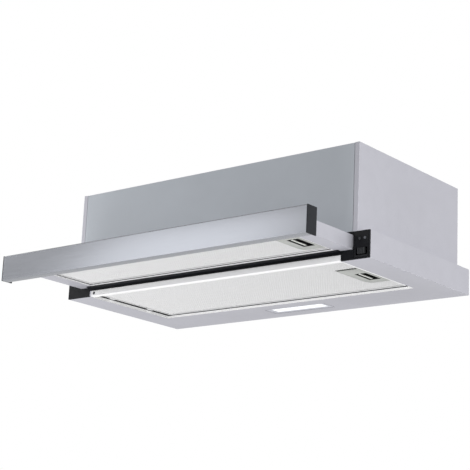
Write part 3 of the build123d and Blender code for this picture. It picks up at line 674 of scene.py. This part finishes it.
piece("drawer_cross_screws", drawer_cross, "drawer", "screw_steel", ["drawer_screws"])
bar_cross = copies(screw_mesh(2.3, 0.9, 1.4, 5), BAR_PLACES, (0, -1, 0))
piece("bar_cross_screw", bar_cross, "hood", "dark_screw", ["crossbar_screw"])

# ---------------------------------------------------------------- filters

FILTERS = {
    "rear": {
        "x": (-245, 245), "y": (8.8, 193), "low": 5.0, "right_rim": 10,
        "plate": (195, 66.5), "tongue": 249.4, "tab": (5.4, 7.5),
    },
    "front": {
        "x": (-239.5, 242), "y": (-130, -9), "low": 17.5, "right_rim": 5,
        "plate": (197, -105), "tongue": 243.1, "tab": (19.1, 6.5),
    },
}
FILTER_HEIGHT = 8
NARROW_RIM = 2.2
HEM = 0.8
RIM_OVERLAP = 1
TAB_SHARES = (0.2, 0.7)
TAB_WIDTH = 12
TAB_THICK = 1
TAB_OVERLAP = 0.4
CELL = (4.22, 6.02)
STRAND = (1.0, 0.3)
STRAND_TILT = 0.45
MESH_LIFT = 0.85
MESH_GAP = 0.3
PAST_PLATE = 9
PACK_LEVELS = (3.2, 6.4)
PACK_GAP = 0.4
PLATE = (40, 86)
PLATE_CORNERS = (2, 2, 2, 14)
PLATE_CHAMFER = 0.5
PLATE_TOP = 0.9
COVER_EDGE = 0.25
GRIP_EDGE = 0.15
POCKET = (20.5, 42)
POCKET_AT = (14, 27)
POCKET_CORNER = 1.5
POCKET_ROOF = 1.9
PAST = 1
SLOT_INSET = 6
SLOT_START = 2
SLOT_PLAY = 0.3
SLIDE_UNDER_TOP = (3.4, 2)
ROOM_X = (-8, 9.4)
ROOM_Y = (-1, 4)
ROOM_FLOOR = 1.6
GROOVE_ENDS = (1.5, 4)
GROOVE_DEEP = 1.5
GROOVE_TOP = 1.4
GROOVE_CORNER = 0.2
GAP_SHADE_PLAY = 0.1
GAP_SHADE_LEVELS = (0.9, 1.35)
SHADE_LINER_GAP = 0.05
SHADE_LINER_WALL = 0.2
SHADE_LINER_CORNER = 1.4
SHADE_LINER_LOW = 0.5
SHADE_LINER_ROOF = (1.93, 1.97)
GRIP_X = (4.6, 8)
GRIP_INSET = 4
GRIP_LEVELS = (0.3, 0.7, 1.3, 1.6)
GRIP_CORNER = 1
BROW_CORNER = 0.8
GRIP_SLOPE = 0.3
WEB_X = (0.8, 2.2)
WEB_LOW = 1.5
WEB_INSET = 1
WEB_CORNER = 0.5
TONGUE_PLAY = 0.6
TONGUE_CORNERS = (0.2, 2, 2, 0.2)
ARM_INSET = 0.2
ARM_Y = (-5, 3)
ARM_DEEP = 2.2
ARM_UNDER = 0.1
SPRING_SIDE = 6
SPRING_START = 7
SPRING_HEIGHT = 4
SPRING_LENGTH = 11
SPRING_PITCH = 1.6
SPRING_RADIUS = 1.4
SPRING_WIRE = 0.25
SPRING_STEPS = 14
WIRE_SIDES = 6


def strands(x, y, low, gap):
    """Expanded mesh: zigzag strands, front to back, that meet at the points of their diamonds.

    x and y are the ranges it covers, low its underside, and gap the (x, y) ranges left open."""
    bm = bmesh.new()
    step_x, step_y = CELL[0] / 2, CELL[1] / 2
    wide, thick = STRAND[0] / 2, STRAND[1] / 2
    section = (
        (-wide, -STRAND_TILT - thick),
        (wide, STRAND_TILT - thick),
        (wide, STRAND_TILT + thick),
        (-wide, -STRAND_TILT + thick),
    )
    middle = low + STRAND_TILT + thick
    for column in range(int((x[1] - x[0]) / step_x)):
        centre = x[0] + (column + 0.5) * step_x
        runs = [[]]
        for row in range(int((y[1] - y[0]) / step_y) + 1):
            px = centre + step_x / 2 * (1 if (column + row) % 2 else -1)
            py = y[0] + row * step_y
            if gap[0][0] < px < gap[0][1] and gap[1][0] < py < gap[1][1]:
                runs.append([])
            else:
                runs[-1].append((px, py))
        for run in runs:
            if len(run) < 2:
                continue
            loops = [[bm.verts.new(hood(px + dx, py, middle + dz)) for dx, dz in section] for px, py in run]
            bridge(bm, loops)
            cap(bm, loops)
    return bm


def coil(start):
    """The latch's compression spring, wound along X from a point in hood measures."""
    bm = bmesh.new()
    forward = Vector((1, 0, 0))
    loops = []
    for step in range(int(SPRING_LENGTH / SPRING_PITCH * SPRING_STEPS) + 1):
        turn = 2 * math.pi * step / SPRING_STEPS
        out = Vector((0, math.cos(turn), math.sin(turn)))
        centre = Vector(start) + forward * (SPRING_PITCH * step / SPRING_STEPS) + out * SPRING_RADIUS
        angles = (2 * math.pi * side / WIRE_SIDES for side in range(WIRE_SIDES))
        points = [centre + (out * math.cos(a) + forward * math.sin(a)) * SPRING_WIRE for a in angles]
        loops.append([bm.verts.new(hood(*point)) for point in points])
    bridge(bm, loops)
    cap(bm, loops)
    return bm


def rolled_frame(x, y, rims, low, tab):
    """A filter's rolled frame with the two tabs of its hinge edge."""
    high = low + FILTER_HEIGHT
    section = [
        (0, 0.0, high - 0.9), (0, 0.25, high - 0.25), (0, 0.9, high),
        (1, -0.3, high), (1, 0.0, high - 0.3), (1, 0.0, high - HEM), (0, HEM, high - HEM),
        (0, HEM, low + HEM), (1, 0.0, low + HEM), (1, 0.0, low + 0.35), (1, -0.3, low),
        (0, 1.2, low), (0, 0.35, low + 0.35), (0, 0.0, low + 1.2),
    ]
    parts = [ring(x, y, rims, section)]
    tab_low, tab_reach = tab
    outline = rectangle((x[0] + TAB_OVERLAP, x[0] - tab_reach), (tab_low, tab_low + TAB_THICK))
    for share in TAB_SHARES:
        tab_y = y[0] + share * (y[1] - y[0])
        parts.append(prism(outline, along_y, tab_y, tab_y + TAB_WIDTH))
    return merged(*parts)


def mesh_layers(window_x, window_y, plate_x, plate_y, low):
    """The block of deeper layers, notched round the latch plate."""
    notch_x = plate_x[0] - PACK_GAP
    notch_y = inset(plate_y, -PACK_GAP)
    outline = [
        (window_x[0], window_y[0]), (window_x[1], window_y[0]),
        (window_x[1], notch_y[0]), (notch_x, notch_y[0]),
        (notch_x, notch_y[1]), (window_x[1], notch_y[1]),
        (window_x[1], window_y[1]), (window_x[0], window_y[1]),
    ]
    return prism(outline, along_z, low + PACK_LEVELS[0], low + PACK_LEVELS[1])


def filter_pieces(prefix, x, y, low, right_rim, plate, tongue, tab):
    """The detailed pieces of one grease filter."""
    body = prefix + "_filter"
    high = low + FILTER_HEIGHT
    rims = (NARROW_RIM, right_rim, NARROW_RIM, NARROW_RIM)
    frame_name = body + "_rolled_frame"
    piece(frame_name, rolled_frame(x, y, rims, low, tab), body, "filter_frame", [body + "_frame"])

    plate_x = (plate[0], plate[0] + PLATE[0])
    plate_y = (plate[1], plate[1] + PLATE[1])
    gap = ((plate_x[0] - MESH_GAP, x[1] + PAST_PLATE), inset(plate_y, -MESH_GAP))
    window_x = (x[0] + rims[0] - RIM_OVERLAP, x[1] - rims[1] + RIM_OVERLAP)
    window_y = (y[0] + rims[2] - RIM_OVERLAP, y[1] - rims[3] + RIM_OVERLAP)
    mesh = strands(window_x, window_y, low + MESH_LIFT, gap)
    piece(body + "_expanded_mesh", mesh, body, "filter_mesh", [body + "_mesh"])
    pack = mesh_layers(window_x, window_y, plate_x, plate_y, low)
    # the deeper layers are coloured near black as painted shade
    piece(body + "_mesh_layers", pack, body, "filter_mesh", finish="shaded_mesh_core")
    latch_pieces(prefix, plate_x, plate_y, low, high, tongue)


def latch_pieces(prefix, plate_x, plate_y, low, high, tongue):
    """A filter's latch plate with its pocket, a near-black shell of painted shade in the pocket and a strip
    of painted shadow in its front groove, and the sprung slide in it, whose web and tongue are painted near
    black as shade.
    """
    body = prefix + "_filter"
    latch = prefix + "_latch"
    outline = rounded_rectangle(plate_x, plate_y, PLATE_CORNERS)
    inner_corners = [corner - PLATE_CHAMFER for corner in PLATE_CORNERS]
    inner = rounded_rectangle(inset(plate_x, PLATE_CHAMFER), inset(plate_y, PLATE_CHAMFER), inner_corners)
    slab = stack([(inner, low), (outline, low + PLATE_CHAMFER), (outline, high - PLATE_TOP)], along_z)
    pocket_x = (plate_x[0] + POCKET_AT[0], plate_x[0] + POCKET_AT[0] + POCKET[0])
    pocket_y = (plate_y[0] + POCKET_AT[1], plate_y[0] + POCKET_AT[1] + POCKET[1])
    mouth = rounded_rectangle(pocket_x, pocket_y, (POCKET_CORNER,) * 4)
    pocket = prism(mouth, along_z, low - PAST, high - POCKET_ROOF)
    slot_y = inset(pocket_y, SLOT_INSET)
    slide_z = tuple(high - under for under in SLIDE_UNDER_TOP)
    slot_outline = rectangle((pocket_x[1] - SLOT_START, plate_x[1] + PAST), slot_y)
    slot_cut = prism(slot_outline, along_z, *inset(slide_z, -SLOT_PLAY))
    spring_y = pocket_y[1] + SPRING_SIDE
    room_x = (pocket_x[0] + ROOM_X[0], pocket_x[0] + ROOM_X[1])
    room_y = (pocket_y[1] + ROOM_Y[0], spring_y + ROOM_Y[1])
    room = prism(rectangle(room_x, room_y), along_z, low + ROOM_FLOOR, high + PAST)
    groove_x = (plate_x[0] + GROOVE_ENDS[0], plate_x[1] - GROOVE_ENDS[1])
    groove_y = (plate_y[0] - PAST, plate_y[0] + GROOVE_DEEP)
    groove_corners = (GROOVE_CORNER,) * 4
    groove_outline = rounded_rectangle(groove_x, groove_y, groove_corners)
    groove = prism(groove_outline, along_z, low - PAST, low + GROOVE_TOP)
    shade_liner_slot, shade_liner_room = slot_cut.copy(), room.copy()
    plate_mesh = carved(slab, pocket, slot_cut, room, groove)
    cover = piece(body + "_latch_cover", plate_mesh, body, "latch_grey", [prefix + "_latch_plate"])
    soften(cover, COVER_EDGE)

    # painted shade: a near-black shell inside the pocket, where the plate's grey walls lie in shade
    shell_x, shell_y = inset(pocket_x, SHADE_LINER_GAP), inset(pocket_y, SHADE_LINER_GAP)
    shell_outline = rounded_rectangle(shell_x, shell_y, (SHADE_LINER_CORNER,) * 4)
    shell = prism(shell_outline, along_z, low + SHADE_LINER_LOW, high - SHADE_LINER_ROOF[0])
    hollow_corners = (SHADE_LINER_CORNER - SHADE_LINER_WALL,) * 4
    hollow_x, hollow_y = inset(shell_x, SHADE_LINER_WALL), inset(shell_y, SHADE_LINER_WALL)
    hollow_outline = rounded_rectangle(hollow_x, hollow_y, hollow_corners)
    hollow = prism(hollow_outline, along_z, low - PAST, high - SHADE_LINER_ROOF[1])
    shade_liner = carved(shell, hollow, shade_liner_slot, shade_liner_room)
    # painted shadow: a near-black strip in the groove along the plate's front edge
    gap_shade_y = inset((plate_y[0], groove_y[1]), GAP_SHADE_PLAY)
    gap_shade_outline = rounded_rectangle(inset(groove_x, GAP_SHADE_PLAY), gap_shade_y, groove_corners)
    gap_shade = prism(gap_shade_outline, along_z, low + GAP_SHADE_LEVELS[0], low + GAP_SHADE_LEVELS[1])
    piece(body + "_latch_shade_liner", merged(shade_liner, gap_shade), body, "latch_grey", finish="latch_painted_shade")

    bar_x = (pocket_x[0] + GRIP_X[0], pocket_x[0] + GRIP_X[1])
    bar_y = inset(pocket_y, GRIP_INSET)
    brow_corners = (BROW_CORNER,) * 4
    brow = rounded_rectangle(inset(bar_x, GRIP_SLOPE), inset(bar_y, GRIP_SLOPE), brow_corners)
    lip = rounded_rectangle(bar_x, bar_y, (GRIP_CORNER,) * 4)
    levels = [low + level for level in GRIP_LEVELS]
    grip = stack(list(zip((brow, lip, lip, brow), levels)), along_z)
    # the web behind the grip is coloured near black as painted shade
    web_x = (bar_x[0] + WEB_X[0], bar_x[0] + WEB_X[1])
    web_outline = rounded_rectangle(web_x, inset(bar_y, WEB_INSET), (WEB_CORNER,) * 4)
    web = prism(web_outline, along_z, low + WEB_LOW, slide_z[1])
    piece(latch + "_grip_web", web, latch, "latch_grey", finish="latch_painted_shade")
    # the tongue and its arm are coloured near black as painted shade
    tongue_x = (bar_x[0] + ARM_INSET, tongue)
    tongue_outline = rounded_rectangle(tongue_x, inset(slot_y, TONGUE_PLAY), TONGUE_CORNERS)
    blade = prism(tongue_outline, along_z, *slide_z)
    arm_outline = rectangle(inset(bar_x, ARM_INSET), (pocket_y[1] + ARM_Y[0], spring_y + ARM_Y[1]))
    arm = prism(arm_outline, along_z, slide_z[0] - ARM_DEEP, slide_z[1] - ARM_UNDER)
    piece(latch + "_tongue", merged(blade, arm), latch, "latch_grey", finish="latch_painted_shade")
    spring_x = pocket_x[0] - SPRING_START
    wound = coil((spring_x, spring_y, low + SPRING_HEIGHT))
    spring = piece(latch + "_coil", wound, body, "bright_steel", [latch + "_spring"])
    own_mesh(spring)
    # the grip takes the lighter copy of the latch plastic as painted highlight
    slide = piece(latch + "_grip", grip, latch, "latch_grey", [latch + "_slide"], "grip_painted_highlight")
    soften(slide, GRIP_EDGE)


for prefix, sizes in FILTERS.items():
    filter_pieces(prefix, **sizes)

# ---------------------------------------------------------------- trims, seams, painted highlights and painted shadows


def frame_strip(x, y, z, width):
    """A thin upright band round a rectangle, set along the folded edge of an opening: a painted highlight
    there, or a dark line.
    """
    low, high = z
    section = [(0, 0, low), (0, 0, high), (0, width, high), (0, width, low)]
    return ring(x, y, (0, 0, 0, 0), section)


DRAWER_OPENING = ((-240.9, 243.4), (-130.9, -7.6))
LAMP_OUTLINE = ((-55.4, 64.4), (217.1, 248.9))
GAP_TOP = 4.95
REAR_GAP = ((193.45, 193.6), (3.9, GAP_TOP))
LEFT_GAP = ((-249.6, -249.4), (4.3, GAP_TOP))
# painted highlight: a white band on the inner faces of the pan's opening flange
hood_opening_highlight = frame_strip((-249.97, 249.97), (8.6, 193.95), (0.1, 4.9), 0.12)
piece("hood_opening_highlight", hood_opening_highlight, "hood", "silver_paint", finish="white_trim")
# painted shadow: dark lines along the rear and left gaps of the rear filter
rear_gap = prism(rectangle(*REAR_GAP), along_x, -249.5, 249.5)
left_gap = prism(rectangle(*LEFT_GAP), along_y, 9.0, 193.4)
piece("gap_shadow_lines", merged(rear_gap, left_gap), "hood", "silver_paint", finish="seam_and_gap_shadow")
# painted highlight: a white band on the drawer opening's flange
drawer_edge_highlight = frame_strip(*DRAWER_OPENING, (15.1, 17.0), 0.25)
piece("drawer_opening_highlight", drawer_edge_highlight, "drawer", "silver_paint", finish="white_trim")
# painted shadow: a dark band in the gap between the front filter and the drawer opening
drawer_gap = frame_strip(*DRAWER_OPENING, (17.05, 18.4), 0.25)
piece("drawer_gap_shadow", drawer_gap, "drawer", "silver_paint", finish="seam_and_gap_shadow")
lamp_seam = frame_strip(*LAMP_OUTLINE, (0.05, 0.6), 0.8)
piece("lamp_seam", lamp_seam, "hood", "lamp_grey", finish="seam_and_gap_shadow")

# ---------------------------------------------------------------- studio

CAMERA_AT = (1.4281, -1.7958, -0.6801)
FORWARD = Vector((-0.61668, 0.74464, 0.25538)).normalized()
ROLL = math.radians(2.67)
LENS = 112.5
SENSOR = 36
CLIP = (0.05, 50)
FLOOR_HALF = 8
FLOOR_HEIGHT = -3.2
LIGHT_FROM_WORLD = 0.5
WORLD_SEEN = 1.0

level_right = FORWARD.cross(Vector((0, 0, 1))).normalized()
level_up = level_right.cross(FORWARD)
right = level_right * math.cos(ROLL) + level_up * math.sin(ROLL)
up = right.cross(FORWARD)
camera = bpy.data.objects.new("camera", bpy.data.cameras.new("camera"))
bpy.context.scene.collection.objects.link(camera)
camera.data.lens = LENS
camera.data.sensor_width = SENSOR
camera.data.clip_start, camera.data.clip_end = CLIP
turned_to = Matrix((right, up, -FORWARD)).transposed().to_4x4()
camera.matrix_world = Matrix.Translation(CAMERA_AT) @ turned_to
bpy.context.scene.camera = camera


def softbox(name, place, target, size, power, color=(1, 1, 1)):
    """A rectangular light that faces a point and isn't itself seen."""
    data = bpy.data.lights.new(name, "AREA")
    data.shape = "RECTANGLE"
    data.size, data.size_y = size
    data.energy = power
    data.color = color
    obj = bpy.data.objects.new(name, data)
    obj.location = place
    obj.rotation_mode = "QUATERNION"
    obj.rotation_quaternion = (Vector(target) - Vector(place)).to_track_quat("-Z", "Y")
    obj.visible_camera = False
    bpy.context.scene.collection.objects.link(obj)
    return obj


MIDDLE = (0, -0.05, -0.12)
STRIP_MIDDLE = (0.02, -0.28, -0.15)
COOL_WHITE = (0.97, 0.98, 1.0)
softbox("left_front", (-1.20, -1.77, -0.15), STRIP_MIDDLE, (0.58, 1.6), 2.8, COOL_WHITE)
softbox("right", (2.2, 0.1, 0.0), MIDDLE, (1.6, 1.6), 24.5)
softbox("below", (-0.2, -0.8, -1.9), MIDDLE, (2.0, 2.0), 36).visible_glossy = False
softbox("low_left", (-1.2, -0.55, 0.1), (-0.1, 0, -0.1), (0.5, 0.9), 2.4)
softbox("front_high", (0.3, -2.4, 1.3), MIDDLE, (1.2, 1.2), 4)

world = bpy.data.worlds.new("studio")
bpy.context.scene.world = world
world.use_nodes = True
background = world.node_tree.nodes["Background"]
rays = world.node_tree.nodes.new("ShaderNodeLightPath")
level = world.node_tree.nodes.new("ShaderNodeMapRange")
level.inputs["To Min"].default_value = LIGHT_FROM_WORLD
level.inputs["To Max"].default_value = WORLD_SEEN
world.node_tree.links.new(rays.outputs["Is Camera Ray"], level.inputs["Value"])
world.node_tree.links.new(level.outputs["Result"], background.inputs["Strength"])
background.inputs["Color"].default_value = (1, 1, 1, 1)
bpy.context.scene.view_settings.view_transform = "Standard"

floor_mesh = bmesh.new()
bmesh.ops.create_grid(floor_mesh, x_segments=8, y_segments=8, size=FLOOR_HALF)
floor_data = bpy.data.meshes.new("floor")
floor_mesh.to_mesh(floor_data)
floor_mesh.free()
floor = bpy.data.objects.new("floor", floor_data)
floor.location = (0, 0, FLOOR_HEIGHT)
bpy.context.scene.collection.objects.link(floor)
floor_finish = Finish("floor", (0.86, 0.86, 0.86), 0.8)
floor_finish.shade(floor_finish.noise(3, 2), 0.02)
floor_data.materials.append(floor_finish.material)
